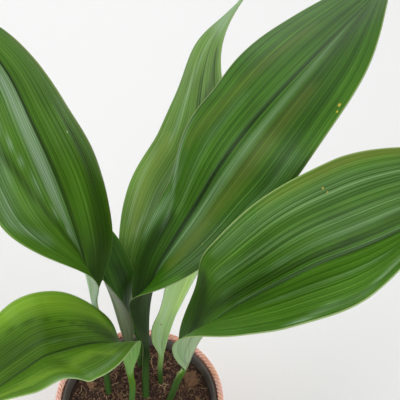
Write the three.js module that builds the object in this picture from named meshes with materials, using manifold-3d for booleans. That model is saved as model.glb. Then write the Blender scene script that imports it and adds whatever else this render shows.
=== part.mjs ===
// Potted cast iron plant: seven leaves rise from peat in a nursery pot, which stands in a cord cover pot.
// Millimetres, +Z up. The origin is the centre of the cover pot's underside.
import * as THREE from 'three';
import { mergeVertices } from 'three/addons/utils/BufferGeometryUtils.js';
import Module from 'manifold-3d';

// ---- Driving dimensions: pots and soil ----
const CLEARANCE = 0.3; // gap between pieces that touch
const POT_SEGMENTS = 48;
const COVER_HEIGHT = 135;
const COVER_RIM_RADIUS = 75;
const COVER_FOOT_RADIUS = 60;
const CORD_WIDTH = 5.2; // thickness of the cover pot's wall and rim cord
const RIM_CORD_ARC_STEPS = 5;

const NURSERY_RIM_RADIUS = 68.8;
const NURSERY_RIM_HEIGHT = 132; // height of the rim above the origin
const NURSERY_FOOT_RADIUS = 51;
const NURSERY_WALL = 1.6;
const NURSERY_LIP_DEPTH = 5;
const NURSERY_LIP_STEP = 1.8; // how far the lip stands out from the wall
const DRAIN_HOLE_COUNT = 6;
const DRAIN_HOLE_RADIUS = 5;
const DRAIN_HOLE_CIRCLE = 34;

const SOIL_LEVEL = 123;
const SOIL_CROWN = 2.5; // rise of the soil from its edge to its middle
const SOIL_LUMP = 1.1; // height of the lumps on its surface
const SOIL_RINGS = 6;

// ---- Driving dimensions: leaves ----
const LEAF_FOOT_HEIGHT = 117; // the petioles end this high, 6 mm down in the soil
const PETIOLE_ROWS = 5;
const BLADE_ROW_STEP = 11;
const EDGE_THICKNESS = 0.65;
const BLADE_THICKNESS = 1.0;
const KEEL_HALF_WIDTH = 3.2; // the raised midrib under the blade
const KEEL_DEPTH_AT_BASE = 2.6;
const KEEL_DEPTH_AT_TIP = 0.4;
const BLADE_BASE_HALF_WIDTH = 2.5; // half the blade where it leaves the petiole
const TIP_HALF_WIDTH = 0.9;
const PETIOLE_BLEND = 0.09; // share of the blade over which the petiole flattens out
const ROW_CROWDING = 1.3; // rows stand closer together towards the blade's base
const SOIL_HOLE_CLEARANCE = 0.7;

// Each leaf is one grown piece. midrib: six points from the petiole's foot, the blade's base, then to the tip.
// heading: compass direction of growth in degrees, from +X towards +Y. bend: stations from the blade's
// base to its tip, each [roll about the midrib, fold of the left half, fold of the right half] in degrees.
// curl: extra bend of each half from midrib to margin. widest: share of the blade's length where it is widest.
// wave: [height in mm, number of waves, phase] of the margin's ripple, for the left and the right half.
const LEAVES = [
  {
    name: 'leaf_left', colour: 0x376b1f, heading: 150, petioleRadius: 3.1,
    midrib: [[-28, 11, LEAF_FOOT_HEIGHT], [-33, 33, 220], [-53, 74, 305], [-72, 87, 381], [-97, 111, 429],
      [-154, 138, 480]],
    bend: [[60, 55, 52], [40, 56, 45], [19, 50, 43], [2, 8, 9], [-6, -21, -12], [-1, -15, -12], [11, 3, -12]],
    curl: [-14, -19], halfWidth: 55.9, widest: 0.38, basePower: 1.38, tipPower: 0.88,
    wave: [[1.2, 3.5, 0.1], [1, 4.5, 0.6]],
  },
  {
    name: 'leaf_low', colour: 0x5c961f, heading: 185, petioleRadius: 2.8,
    midrib: [[-8, 5, LEAF_FOOT_HEIGHT], [-6, 6, 157], [-18, 9, 206], [-57, -24, 244], [-85, -47, 247],
      [-171, -114, 230]],
    bend: [[101, 35, 59], [92, 34, 62], [79, 31, 66], [52, 13, 66], [34, 4, 62], [35, 15, 56], [38, 28, 50]],
    curl: [-15, -11], halfWidth: 49.2, widest: 0.53, basePower: 1.3, tipPower: 0.87,
    wave: [[2, 3.5, 0.75], [1, 3, 0.1]],
  },
  {
    name: 'leaf_back', colour: 0x6f9a4c, heading: 70, petioleRadius: 2.7,
    midrib: [[8, 45, LEAF_FOOT_HEIGHT], [-10, 73, 186], [20, 116, 261], [48, 138, 311], [63, 178, 386],
      [108, 218, 434]],
    bend: [[21, 55, 55], [11, 42, 43], [1, 29, 31], [-8, 18, 20], [-20, 9, 12], [-33, 10, 7], [-51, 10, 9],
      [-71, 4, 14]],
    curl: [-16, -15], halfWidth: 42, widest: 0.44, basePower: 1.04, tipPower: 0.99,
    wave: [[1.4, 4, 0.2], [1.2, 3.5, 0.5]],
  },
  {
    name: 'leaf_inner', colour: 0x1f4a10, heading: 150, petioleRadius: 2.3,
    midrib: [[-2, 41, LEAF_FOOT_HEIGHT], [-1, 39, 159], [-12, 43, 164], [-24, 60, 208], [-48, 99, 241],
      [-68, 123, 282]],
    bend: [[6, 78, 50], [11, 74, 37], [15, 74, 25], [15, 72, 17], [4, 60, 33], [-2, 46, 31], [-9, 25, 17]],
    curl: [-15, -15], halfWidth: 26.4, widest: 0.5, basePower: 0.95, tipPower: 0.85,
    wave: [[0.8, 3, 0], [0.8, 3, 0.4]],
  },
  {
    name: 'leaf_tall', colour: 0x3c7022, heading: 50, petioleRadius: 3.1,
    midrib: [[5, 5, LEAF_FOOT_HEIGHT], [7, 19, 175], [14, 35, 250], [46, 45, 326], [93, 55, 417], [208, 163, 473]],
    bend: [[-91, 69, 33], [-79, 76, 62], [-67, 89, 77], [-50, 48, -7], [-34, 20, -49], [-27, 19, -8], [-27, 13, 53]],
    curl: [-13, -10], halfWidth: 53.3, widest: 0.74, basePower: 1.08, tipPower: 0.87,
    wave: [[1.4, 4.5, 0.1], [1, 4, 0.7]],
  },
  {
    name: 'leaf_right', colour: 0x417a2b, heading: -5, petioleRadius: 3.1,
    midrib: [[25, 5, LEAF_FOOT_HEIGHT], [39, -9, 193], [63, -27, 285], [123, -38, 360], [172, -48, 407],
      [245, -45, 466]],
    bend: [[-35, 65, 117], [1, 54, 59], [19, 31, 35], [14, 15, 66], [26, 48, 53], [14, 30, 35], [-3, 36, 51]],
    curl: [-5, -9], halfWidth: 59.2, widest: 0.69, basePower: 1.06, tipPower: 0.78,
    wave: [[1.2, 4, 0.3], [1.5, 5, 0.2]],
  },
  {
    name: 'leaf_pale', colour: 0xa2c485, heading: 60, petioleRadius: 2.4,
    midrib: [[18, 21, LEAF_FOOT_HEIGHT], [19, 27, 155], [30, 45, 194], [54, 70, 246], [71, 94, 285], [99, 127, 317]],
    bend: [[-125, 54, 49], [-115, 53, 42], [-108, 45, 33], [-99, 28, 12], [-94, 20, 22], [-84, 19, 23],
      [-72, 16, 19]],
    curl: [-15, -15], halfWidth: 30.1, widest: 0.5, basePower: 0.9, tipPower: 0.85,
    wave: [[0.8, 3, 0.2], [0.8, 3, 0.7]],
  },
];

const wasm = await Module();
wasm.setup();

// ---- Solids: joining and cutting ----

function toSolid(geometry) {
  const bare = geometry.clone();
  bare.deleteAttribute('normal');
  bare.deleteAttribute('uv');
  const merged = mergeVertices(bare, 1e-4);
  return new wasm.Manifold(new wasm.Mesh({
    numProp: 3,
    vertProperties: new Float32Array(merged.attributes.position.array),
    triVerts: new Uint32Array(merged.index.array),
  }));
}

function toGeometry(solid) {
  const mesh = solid.getMesh();
  const geometry = new THREE.BufferGeometry();
  geometry.setAttribute('position', new THREE.BufferAttribute(mesh.vertProperties, 3));
  geometry.setIndex(new THREE.BufferAttribute(mesh.triVerts, 1));
  geometry.computeVertexNormals();
  return geometry;
}

function cutAway(solid, tools) {
  return tools.reduce((rest, tool) => rest.subtract(tool), solid);
}

// Turns an outline of [radius, height] points round the Z axis. The outline runs up the outside.
function turned(outline, segments = POT_SEGMENTS) {
  const points = outline.map(([radius, height]) => new THREE.Vector2(radius, height));
  return new THREE.LatheGeometry(points, segments).rotateX(Math.PI / 2);
}

function uprightCylinder(radius, height, segments) {
  return new THREE.CylinderGeometry(radius, radius, height, segments).rotateX(Math.PI / 2);
}

// ---- Pots and soil ----

function coverPot() {
  const rimCordRadius = CORD_WIDTH / 2;
  const rimCordCentre = COVER_RIM_RADIUS - rimCordRadius;
  const rimCordHeight = COVER_HEIGHT - rimCordRadius;
  const outline = [[0, 0], [COVER_FOOT_RADIUS, 0], [COVER_FOOT_RADIUS + 2, rimCordRadius]];
  for (let step = 0; step <= RIM_CORD_ARC_STEPS; step += 1) {
    const angle = Math.PI * step / RIM_CORD_ARC_STEPS;
    outline.push([
      rimCordCentre + rimCordRadius * Math.cos(angle),
      rimCordHeight + rimCordRadius * Math.sin(angle),
    ]);
  }
  outline.push([COVER_FOOT_RADIUS + 2 - CORD_WIDTH, CORD_WIDTH], [0, CORD_WIDTH]);
  return turned(outline);
}

function nurseryWallRadius(height) {
  const foot = CORD_WIDTH + CLEARANCE;
  const share = (height - foot) / (NURSERY_RIM_HEIGHT - foot);
  return THREE.MathUtils.lerp(NURSERY_FOOT_RADIUS, NURSERY_RIM_RADIUS - NURSERY_LIP_STEP, share);
}

function nurseryPot() {
  const foot = CORD_WIDTH + CLEARANCE;
  const lipHeight = NURSERY_RIM_HEIGHT - NURSERY_LIP_DEPTH;
  const floor = foot + NURSERY_WALL;
  const outline = [
    [0, foot],
    [NURSERY_FOOT_RADIUS - 2, foot],
    [NURSERY_FOOT_RADIUS, foot + 2],
    [nurseryWallRadius(lipHeight), lipHeight],
    [NURSERY_RIM_RADIUS, lipHeight + 1],
    [NURSERY_RIM_RADIUS, NURSERY_RIM_HEIGHT - 0.8],
    [NURSERY_RIM_RADIUS - 0.8, NURSERY_RIM_HEIGHT],
    [nurseryWallRadius(NURSERY_RIM_HEIGHT) - NURSERY_WALL + 1.2, NURSERY_RIM_HEIGHT],
    [nurseryWallRadius(lipHeight) - NURSERY_WALL, lipHeight],
    [nurseryWallRadius(floor) - NURSERY_WALL, floor],
    [0, floor],
  ];
  const drainHoles = Array.from({ length: DRAIN_HOLE_COUNT }, (_, index) => {
    const angle = 2 * Math.PI * index / DRAIN_HOLE_COUNT;
    const hole = uprightCylinder(DRAIN_HOLE_RADIUS, 4 * NURSERY_WALL, 12);
    hole.translate(DRAIN_HOLE_CIRCLE * Math.cos(angle), DRAIN_HOLE_CIRCLE * Math.sin(angle), foot);
    return toSolid(hole);
  });
  return toGeometry(cutAway(toSolid(turned(outline)), drainHoles));
}

// Height of the soil's surface: a low crown with lumps, level along the pot's wall.
function soilHeight(x, y, edgeRadius) {
  const share = Math.min(1, Math.hypot(x, y) / edgeRadius);
  const lumps = Math.sin(x / 5.1 + 1.3) * Math.cos(y / 4.3) + 0.6 * Math.sin(x / 2.9 - y / 3.7);
  return SOIL_LEVEL + (1 - share * share) * SOIL_CROWN + (1 - share ** 4) * SOIL_LUMP * lumps;
}

function soilBody() {
  const floor = CORD_WIDTH + NURSERY_WALL + 2 * CLEARANCE;
  const innerRadius = (height) => nurseryWallRadius(height) - NURSERY_WALL - CLEARANCE;
  const edgeRadius = innerRadius(SOIL_LEVEL);
  const outline = [[0, floor], [innerRadius(floor), floor]];
  for (let ring = 0; ring <= SOIL_RINGS; ring += 1) {
    outline.push([edgeRadius * (1 - ring / SOIL_RINGS), SOIL_LEVEL]);
  }
  const geometry = turned(outline);
  const position = geometry.attributes.position;
  for (let index = 0; index < position.count; index += 1) {
    if (position.getZ(index) > SOIL_LEVEL - 1) {
      position.setZ(index, soilHeight(position.getX(index), position.getY(index), edgeRadius));
    }
  }
  return geometry;
}

// A plain hole that a petiole stands in, along the petiole's own direction.
function petioleHole(leaf) {
  const [foot, bladeBase] = leaf.midrib.map((point) => new THREE.Vector3(...point));
  const direction = bladeBase.sub(foot).normalize();
  const depth = 30;
  const radius = leaf.petioleRadius + SOIL_HOLE_CLEARANCE;
  const hole = new THREE.CylinderGeometry(radius, radius, depth, 14);
  const turn = new THREE.Quaternion().setFromUnitVectors(new THREE.Vector3(0, 1, 0), direction);
  const middle = foot.addScaledVector(direction, depth / 2 - 1);
  hole.applyQuaternion(turn).translate(middle.x, middle.y, middle.z);
  return toSolid(hole);
}

function soil() {
  return toGeometry(cutAway(toSolid(soilBody()), LEAVES.map(petioleHole)));
}

// ---- Leaves ----

const radians = THREE.MathUtils.degToRad;

function smoothCurve(points) {
  return new THREE.CatmullRomCurve3(points.map((point) => new THREE.Vector3(...point)), false, 'catmullrom', 0.5);
}

// Half width of the blade's outline at a share of its length.
function outlineHalfWidth(leaf, share) {
  const rising = share < leaf.widest;
  const angle = (rising ? share / leaf.widest : (share - leaf.widest) / (1 - leaf.widest)) * Math.PI / 2;
  const profile = rising ? Math.sin(angle) ** leaf.basePower : Math.max(Math.cos(angle), 0) ** leaf.tipPower;
  return Math.max(leaf.halfWidth * profile + BLADE_BASE_HALF_WIDTH * (1 - share), TIP_HALF_WIDTH);
}

// Point and direction of one half's cross-section at a distance from the midrib, in the row's own plane.
function halfSection(distance, halfWidth, fold, curl) {
  const startAngle = radians(fold);
  const bendRate = radians(curl || 0.01) / halfWidth;
  const angle = startAngle + bendRate * distance;
  return {
    across: (Math.sin(angle) - Math.sin(startAngle)) / bendRate,
    up: (Math.cos(startAngle) - Math.cos(angle)) / bendRate,
    angle,
  };
}

// The stations of a row from the midrib outwards: midrib, keel's flank, then even steps to the margin.
function stationDistances(halfWidth) {
  const keel = Math.min(KEEL_HALF_WIDTH, 0.4 * halfWidth);
  return [0, keel, ...[1, 2, 3].map((step) => keel + (halfWidth - keel) * step / 3)];
}

function bladeSection(leaf, share, bend) {
  const halfWidth = outlineHalfWidth(leaf, share);
  const folds = { 1: bend.y, '-1': bend.z };
  const stations = stationDistances(halfWidth);
  const keelDepth = THREE.MathUtils.lerp(KEEL_DEPTH_AT_BASE, KEEL_DEPTH_AT_TIP, Math.sqrt(share));
  const row = [];
  for (let index = -stations.length + 1; index < stations.length; index += 1) {
    const side = index < 0 ? -1 : 1;
    const distance = stations[Math.abs(index)];
    const [height, count, phase] = leaf.wave[side > 0 ? 0 : 1];
    const section = halfSection(distance, halfWidth, folds[side], leaf.curl[side > 0 ? 0 : 1]);
    const outward = distance / halfWidth;
    const ripple = height * outward ** 2 * Math.sin(2 * Math.PI * (count * share + phase)) * Math.sin(Math.PI * share);
    const keel = index === 0 ? keelDepth : 0;
    const thickness = THREE.MathUtils.lerp(BLADE_THICKNESS, EDGE_THICKNESS, outward) + keel;
    const lean = index === 0 ? 0 : section.angle;
    const top = new THREE.Vector2(side * section.across, section.up + ripple);
    const under = new THREE.Vector2(side * Math.sin(lean), -Math.cos(lean)).multiplyScalar(thickness).add(top);
    row.push({ top, under });
  }
  return row;
}

// A petiole is round underneath, with a shallow channel on top.
function petioleSection(leaf, stationCount) {
  const radius = leaf.petioleRadius;
  const half = (stationCount - 1) / 2;
  return Array.from({ length: stationCount }, (_, index) => {
    const outward = (index - half) / half;
    const flank = Math.PI / 2 * outward;
    return {
      top: new THREE.Vector2(0.8 * radius * outward, radius * (0.35 + 0.25 * outward ** 2)),
      under: new THREE.Vector2(radius * Math.sin(flank), -radius * Math.cos(flank)),
    };
  });
}

function blendSections(petiole, blade, weight) {
  return petiole.map(({ top, under }, index) => ({
    top: top.clone().lerp(blade[index].top, weight),
    under: under.clone().lerp(blade[index].under, weight),
  }));
}

// Axes of a row's plane: across the blade to its left, and up out of its upper face.
function rowAxes(tangent, heading, roll) {
  const level = new THREE.Vector3(-Math.sin(radians(heading)), Math.cos(radians(heading)), 0);
  const across = level.addScaledVector(tangent, -level.dot(tangent)).normalize();
  return { across: across.applyAxisAngle(tangent, radians(roll)), up: tangent.clone().cross(across) };
}

function leafRows(leaf) {
  const midrib = smoothCurve(leaf.midrib);
  const bends = smoothCurve(leaf.bend);
  const lengths = midrib.getLengths(200);
  const total = lengths[200];
  const petioleShare = lengths[200 / (leaf.midrib.length - 1)] / total;
  const bladeRows = Math.round((1 - petioleShare) * total / BLADE_ROW_STEP);
  const rows = [];
  for (let index = -PETIOLE_ROWS; index <= bladeRows; index += 1) {
    const share = Math.max(0, index / bladeRows) ** ROW_CROWDING;
    const place = index < 0 ? petioleShare * (1 + index / PETIOLE_ROWS) : petioleShare + (1 - petioleShare) * share;
    const centre = midrib.getPointAt(place);
    const bend = bends.getPoint(Math.sqrt(share));
    const axes = rowAxes(midrib.getTangentAt(place), leaf.heading, bend.x);
    const blade = bladeSection(leaf, share, bend);
    const weight = THREE.MathUtils.smoothstep(share, 0, PETIOLE_BLEND);
    const section = blendSections(petioleSection(leaf, blade.length), blade, weight);
    const toSpace = (point) => centre.clone().addScaledVector(axes.across, point.x).addScaledVector(axes.up, point.y);
    rows.push({ top: section.map(({ top }) => toSpace(top)), under: section.map(({ under }) => toSpace(under)) });
  }
  return rows;
}

// Skins the rows into one closed solid. Upper and under face are split along the same diagonals.
function leafGeometry(leaf) {
  const rows = leafRows(leaf);
  const across = rows[0].top.length;
  const ring = 2 * across;
  const positions = rows.flatMap(({ top, under }) => [...top, ...under]).flatMap((point) => point.toArray());
  const topAt = (row, column) => row * ring + column;
  const underAt = (row, column) => row * ring + across + column;
  const triangles = [];
  const quad = (a, b, c, d) => triangles.push(a, b, c, a, c, d);
  for (let row = 0; row < rows.length - 1; row += 1) {
    for (let column = 0; column < across - 1; column += 1) {
      quad(topAt(row, column), topAt(row + 1, column), topAt(row + 1, column + 1), topAt(row, column + 1));
      quad(underAt(row, column), underAt(row, column + 1), underAt(row + 1, column + 1), underAt(row + 1, column));
    }
    const edge = across - 1;
    quad(topAt(row, 0), underAt(row, 0), underAt(row + 1, 0), topAt(row + 1, 0));
    quad(topAt(row, edge), topAt(row + 1, edge), underAt(row + 1, edge), underAt(row, edge));
  }
  const last = rows.length - 1;
  for (let column = 0; column < across - 1; column += 1) {
    quad(topAt(0, column), topAt(0, column + 1), underAt(0, column + 1), underAt(0, column));
    quad(topAt(last, column), underAt(last, column), underAt(last, column + 1), topAt(last, column + 1));
  }
  const geometry = new THREE.BufferGeometry();
  geometry.setAttribute('position', new THREE.Float32BufferAttribute(positions, 3));
  geometry.setIndex(triangles);
  geometry.computeVertexNormals();
  return geometry;
}

// ---- The plant ----

function piece(name, geometry, colour, roughness) {
  const material = new THREE.MeshStandardMaterial({ color: colour, roughness, metalness: 0 });
  const mesh = new THREE.Mesh(geometry, material);
  mesh.name = name;
  return mesh;
}

const plant = new THREE.Group();
plant.add(piece('cover_pot', coverPot(), 0xe8a898, 0.85));
plant.add(piece('nursery_pot', nurseryPot(), 0x3a3a38, 0.5));
plant.add(piece('soil', soil(), 0x5a4538, 0.95));
for (const leaf of LEAVES) {
  plant.add(piece(leaf.name, leafGeometry(leaf), leaf.colour, 0.35));
}

export default plant;
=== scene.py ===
"""Potted cast iron plant: seven leaves in peat, in a nursery pot that stands in a cord cover pot.

The leaves, pots and soil follow the CAD part's own sizes, which are given here in millimetres and
turned to metres where a mesh is written. The frame is the CAD frame: +Z up, origin under the pot.
"""

import logging
import math
import random
from dataclasses import dataclass, field
from enum import Enum
from typing import Callable, Iterable, Sequence

import bmesh
import bpy
import numpy as np
from mathutils import Matrix, Vector, noise


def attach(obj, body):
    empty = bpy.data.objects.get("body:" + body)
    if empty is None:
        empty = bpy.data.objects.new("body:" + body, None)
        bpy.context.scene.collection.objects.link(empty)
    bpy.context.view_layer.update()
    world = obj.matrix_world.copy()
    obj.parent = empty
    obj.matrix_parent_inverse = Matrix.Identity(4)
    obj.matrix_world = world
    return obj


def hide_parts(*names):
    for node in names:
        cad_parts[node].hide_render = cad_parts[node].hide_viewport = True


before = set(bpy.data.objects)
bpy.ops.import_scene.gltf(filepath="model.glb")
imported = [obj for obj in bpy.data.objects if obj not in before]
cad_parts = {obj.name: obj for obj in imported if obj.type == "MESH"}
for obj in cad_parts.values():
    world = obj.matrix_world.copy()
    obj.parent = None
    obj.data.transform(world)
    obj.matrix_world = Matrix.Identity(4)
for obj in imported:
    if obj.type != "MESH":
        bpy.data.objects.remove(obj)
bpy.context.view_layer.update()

log = logging.getLogger("cast_iron_plant")

MM = 0.001
WELD = 1e-6  # points closer than this in metres become one
BATCH = 60  # things that share one small mesh before they join the whole
Station = tuple[float, float, float]
Inputs = dict[str | int, object]


class Slot(Enum):
    """Material slot names, one listed for each leaf."""

    CORD = "cover_cord"
    PLASTIC = "pot_plastic"
    PEAT = "peat"
    LEAF_GREEN = "leaf_green"
    LEAF_BRIGHT = "leaf_bright"
    LEAF_LIGHT = "leaf_light"
    LEAF_DARK = "leaf_dark"
    LEAF_UNDERSIDE = "leaf_underside"


class Tone(Enum):
    """What a stroke does to a leaf's colour: painted shade, painted sheen or a yellowed length; and its place
    in the leaf_tone attribute.
    """

    SHADE = 0
    PAINTED_SHEEN = 1
    AGE = 2


# ---- Colours and nodes ----


def linear(hex_colour: str) -> tuple[float, float, float, float]:
    """Turns an sRGB hex colour to linear.

    Args:
        hex_colour: Six hex digits, with or without a leading hash.

    Returns:
        Linear red, green, blue and an alpha of 1.
    """
    digits = hex_colour.lstrip("#")
    channels = [int(digits[start:start + 2], 16) / 255 for start in (0, 2, 4)]
    red, green, blue = (c / 12.92 if c <= 0.04045 else ((c + 0.055) / 1.055) ** 2.4 for c in channels)
    return red, green, blue, 1.0


def add_node(
    tree: bpy.types.NodeTree,
    kind: str,
    inputs: Inputs | None = None,
    stops: Sequence[tuple[float, str]] = (),
    **settings: object,
) -> bpy.types.Node:
    """Adds one node with its settings and links.

    Args:
        tree: The material's or the world's node tree.
        kind: The node's Blender type name, without the ShaderNode that they all start with.
        inputs: Socket name or number to a value, or to the output socket that feeds it.
        stops: Places and sRGB hex colours of a colour ramp.
        settings: The node's own properties.

    Returns:
        The new node.
    """
    node = tree.nodes.new(f"ShaderNode{kind}")
    for name, value in settings.items():
        setattr(node, name, value)
    for place, (position, colour) in enumerate(stops):
        ramp = node.color_ramp.elements
        element = ramp[place] if place < len(ramp) else ramp.new(position)
        element.position = position
        element.color = linear(colour)
    for name, value in (inputs or {}).items():
        if isinstance(value, bpy.types.NodeSocket):
            tree.links.new(value, node.inputs[name])
        else:
            node.inputs[name].default_value = value
    return node


def empty_material(name: str) -> tuple[bpy.types.Material, bpy.types.NodeTree]:
    """Makes a material with no nodes.

    Args:
        name: What the material is and how it was made.

    Returns:
        The material and its tree.
    """
    material = bpy.data.materials.new(name)
    material.use_nodes = True
    material.node_tree.nodes.clear()
    return material, material.node_tree


# ---- Meshes ----


def finish_piece(
    bm: bmesh.types.BMesh,
    name: str,
    material: bpy.types.Material,
    stands_for: Iterable[str] = (),
) -> None:
    """Writes a mesh to a new object that rides on the plant's one body.

    Args:
        bm: The finished mesh, in metres and in the row frame. It is freed.
        name: The piece's name.
        material: Its finish.
        stands_for: CAD nodes that this piece replaces.
    """
    bmesh.ops.recalc_face_normals(bm, faces=bm.faces)
    for face in bm.faces:
        face.smooth = True
    mesh = bpy.data.meshes.new(name)
    bm.to_mesh(mesh)
    bm.free()
    mesh.materials.append(material)
    piece = bpy.data.objects.new(name, mesh)
    bpy.context.scene.collection.objects.link(piece)
    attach(piece, "root")
    if stands_for:
        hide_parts(*stands_for)
    log.info("%s: %d faces", name, len(mesh.polygons))


def rolled_sheet(
    bm: bmesh.types.BMesh,
    columns: int,
    rows: int,
    shape: Callable[[np.ndarray, np.ndarray], tuple[np.ndarray, ...]],
    *layers: str,
) -> None:
    """Rolls a flat grid into a tube by a formula, and stores where each point lies on it.

    The tube's seam isn't welded yet.

    Args:
        bm: The mesh that the grid is added to.
        columns: Faces round the tube.
        rows: Faces along the tube.
        shape: Takes column and row numbers, and gives points in millimetres, then the values of
            each layer.
        layers: Names of the vertex attributes that hold those values.
    """
    kept = bm.verts.layers.float_vector
    stores = [kept.get(layer) or kept.new(layer) for layer in layers]
    made = bmesh.ops.create_grid(bm, x_segments=columns, y_segments=rows, size=1.0)["verts"]
    flat = np.array([v.co for v in made])
    column = np.rint((flat[:, 0] + 1) / 2 * columns)
    row = np.rint((flat[:, 1] + 1) / 2 * rows)
    points, *values = shape(column, row)
    for place, vertex in enumerate(made):
        vertex.co = points[place] * MM
        for store, value in zip(stores, values):
            vertex[store] = value[place]


def gathered(bm: bmesh.types.BMesh, things: Sequence[tuple[float, ...]], add: Callable[..., None]) -> None:
    """Adds many small things to a mesh a few at a time, which is much quicker than one by one.

    Args:
        bm: The mesh that takes them all.
        things: The numbers of each thing.
        add: Takes a mesh and one thing's numbers, and adds that thing to the mesh.
    """
    for start in range(0, len(things), BATCH):
        few = bmesh.new()
        for thing in things[start:start + BATCH]:
            add(few, *thing)
        mesh = bpy.data.meshes.new("batch")
        few.to_mesh(mesh)
        few.free()
        bm.from_mesh(mesh)
        bpy.data.meshes.remove(mesh)


def close_ends(bm: bmesh.types.BMesh) -> None:
    """Welds the seams of rolled sheets and closes their open ends."""
    bmesh.ops.remove_doubles(bm, verts=bm.verts, dist=WELD)
    open_edges = [edge for edge in bm.edges if edge.is_boundary]
    bmesh.ops.holes_fill(bm, edges=open_edges, sides=0)


def smoothstep(value: np.ndarray, low: float, high: float) -> np.ndarray:
    """Gives the smooth 0 to 1 step of value between low and high."""
    share = np.clip((value - low) / (high - low), 0, 1)
    return share * share * (3 - 2 * share)


def catmull_rom(points: Sequence[Sequence[float]], place: np.ndarray) -> np.ndarray:
    """Points of a uniform Catmull-Rom curve whose ends run straight on.

    Args:
        points: The control points.
        place: Places from 0 to 1.

    Returns:
        One point for each place.
    """
    control = np.array(points, float)
    control = np.vstack([2 * control[0] - control[1], control, 2 * control[-1] - control[-2]])
    spans = len(points) - 1
    start = np.clip(np.floor(place * spans).astype(int), 0, spans - 1)
    t = (place * spans - start)[:, None]
    before, here, after, beyond = (control[start + step] for step in range(4))
    return 0.5 * (
        2 * here
        + (after - before) * t
        + (2 * before - 5 * here + 4 * after - beyond) * t ** 2
        + (3 * here - before - 3 * after + beyond) * t ** 3
    )


# ---- Finishes ----

HALF_SPAN = 50.0  # a leaf's map counts from -50 at the right margin to 50 at the left one
# Painted shade of the midrib's furrow.
FURROW_SHADE = "#142C0C"
# Painted shade that the shade strokes multiply in.
FOLD_SHADE = "#1B3312"
UNDERSIDE_STEP = 3.0  # moves the noise on so that the two faces of a leaf differ

# Noise drawn out along a leaf: its size across and its length in mm, its offset and its detail.
# Fine veins lie under 1 mm apart and the ridges between the main veins 2 mm. Bands are painted light
# and shade of soft folds, clouds are uneven growth, and threads are painted glints on the few veins that
# catch the light.
LEAF_GRAINS = {
    "veins": (0.75, 520.0, 1.3, 2.0),
    "ridges": (1.7, 380.0, 7.7, 3.0),
    "bands": (11.0, 200.0, 3.1, 1.0),
    "clouds": (34.0, 55.0, 5.9, 2.0),
    "threads": (0.5, 650.0, 4.4, 0.0),
}


@dataclass(frozen=True)
class Stroke:
    """A soft lengthwise stroke on one face of a leaf: painted shade, painted sheen and highlight, or a
    yellowed length.

    stations run from base to tip, each the place along the blade in mm, the place across from -50
    at the right margin to 50 at the left one, and the stroke's half width in mm. taper is how far
    each end fades, in mm.
    """

    tone: Tone
    strength: float
    stations: tuple[Station, ...]
    beneath: bool = False
    taper: float = 14.0


@dataclass(frozen=True)
class Spot:
    """A small blemish: its place along the blade in mm and across, its radius in mm and its colour."""

    along: float
    across: float
    radius: float
    colour: str


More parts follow.
